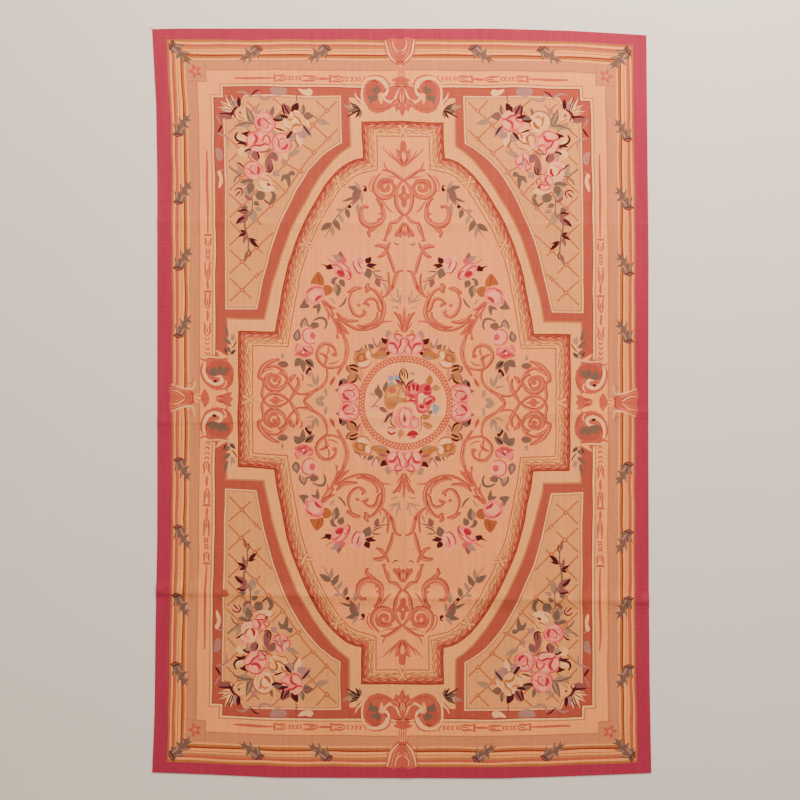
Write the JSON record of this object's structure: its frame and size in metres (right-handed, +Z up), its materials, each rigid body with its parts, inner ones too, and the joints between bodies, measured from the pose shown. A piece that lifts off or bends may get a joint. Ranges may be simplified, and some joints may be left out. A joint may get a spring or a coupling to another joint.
{
  "type": "wool rug",
  "caption": "Flat-woven wool rug lying face up, one thin hemmed sheet with slightly bowed edges and soft fold creases, and a floral medallion pattern.",
  "frame": {"origin": "centre of the rug's bounding rectangle, on the floor that it lies on", "axes": "+Z up through the face of the rug, +Y along its length, +X along its width"},
  "size_m": [1.826, 2.743, 0.0105],
  "materials": {
    "wool_tapestry": "matt weft-faced flat weave",
    "cotton_warp": "undyed matt yarn"
  },
  "bodies": {
    "root": {"woven_rug": "wool_tapestry"}
  },
  "joints": []
}
